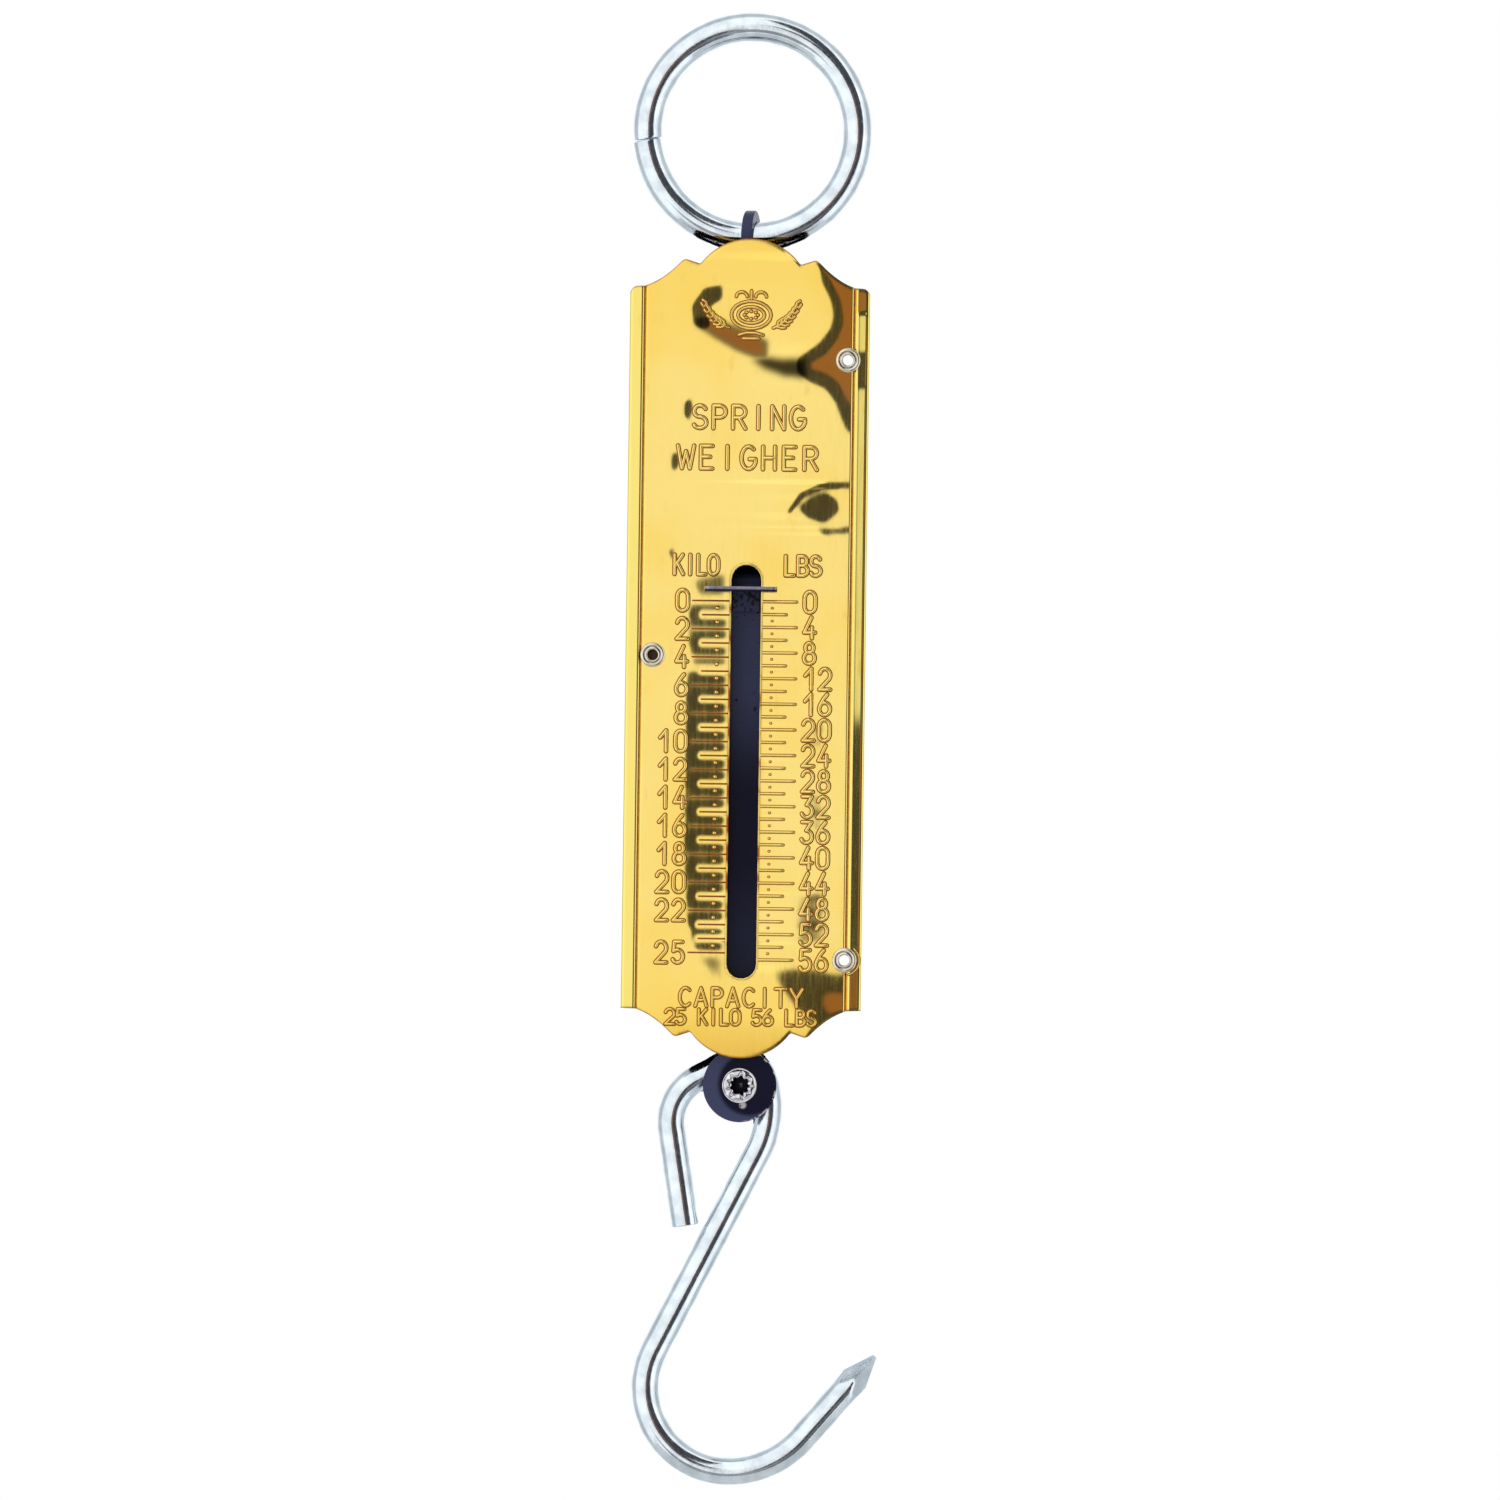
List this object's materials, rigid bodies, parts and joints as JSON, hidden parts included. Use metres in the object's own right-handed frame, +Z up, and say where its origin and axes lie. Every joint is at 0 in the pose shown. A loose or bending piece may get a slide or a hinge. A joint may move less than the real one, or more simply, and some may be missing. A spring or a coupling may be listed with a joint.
{
  "type": "hanging spring scale",
  "caption": "Hand-held hanging spring scale: brass face plate with a slot and two weight scales, suspension ring above, sliding draw strap and S hook below.",
  "frame": {"origin": "top of the suspension ring's inside, where it rests on the peg that holds the scale", "axes": "+Z up, the face plate faces -Y, +X to the reader's right"},
  "size_m": [0.0435, 0.0157, 0.2455],
  "materials": {
    "polished_brass": "bright rolled brass plate, lacquered, slightly wavy",
    "tinned_steel": "tinned sheet steel, faint rolling marks",
    "nickel_eyelet": "pale nickel-plated brass",
    "blue_black_lacquer": "glossy blue-black stoving lacquer with small chips",
    "pointer_steel": "blued steel with a bright sheared edge",
    "bright_rivet": "bright steel, tool marks",
    "zinc_wire": "bright zinc-plated drawn wire",
    "plain_steel": "turned mild steel",
    "spring_steel": "oiled hard-drawn spring wire"
  },
  "bodies": {
    "ring": {"suspension_ring": "zinc_wire"},
    "casing": {"front_plate": "polished_brass", "back_shell": "tinned_steel", "upper_right_eyelet": "nickel_eyelet", "lower_right_eyelet": "nickel_eyelet", "left_rivet": "nickel_eyelet", "ring_eye": "blue_black_lacquer", "anchor_pin": "plain_steel", "anchor_sleeves": "plain_steel", "left_spring": "spring_steel", "right_spring": "spring_steel", "lower_guide": "tinned_steel", "guide_rivets": "bright_rivet"},
    "draw": {"draw_strap": "blue_black_lacquer", "saddle_block": "plain_steel", "cross_pin": "plain_steel", "cross_sleeves": "plain_steel", "pointer": "pointer_steel", "pointer_rivets": "blue_black_lacquer", "hook_rivet": "bright_rivet"},
    "hook": {"hook": "zinc_wire"}
  },
  "joints": [
    {"name": "casing_swing", "type": "hinge", "parent": "ring", "child": "casing", "pos_m": [0, 0, -0.03255], "axis": [1, 0, 0], "range_deg": [-90, 90]},
    {"name": "draw_slide", "type": "slide", "parent": "casing", "child": "draw", "axis": [0, 0, -1], "range_m": [0, 0.0614], "stiffness_N_per_m": 4220, "deforming": ["left_spring", "right_spring"]},
    {"name": "hook_swing", "type": "hinge", "parent": "draw", "child": "hook", "pos_m": [0, 0, -0.1738], "axis": [0, 1, 0], "range_deg": [-75, 30]}
  ]
}
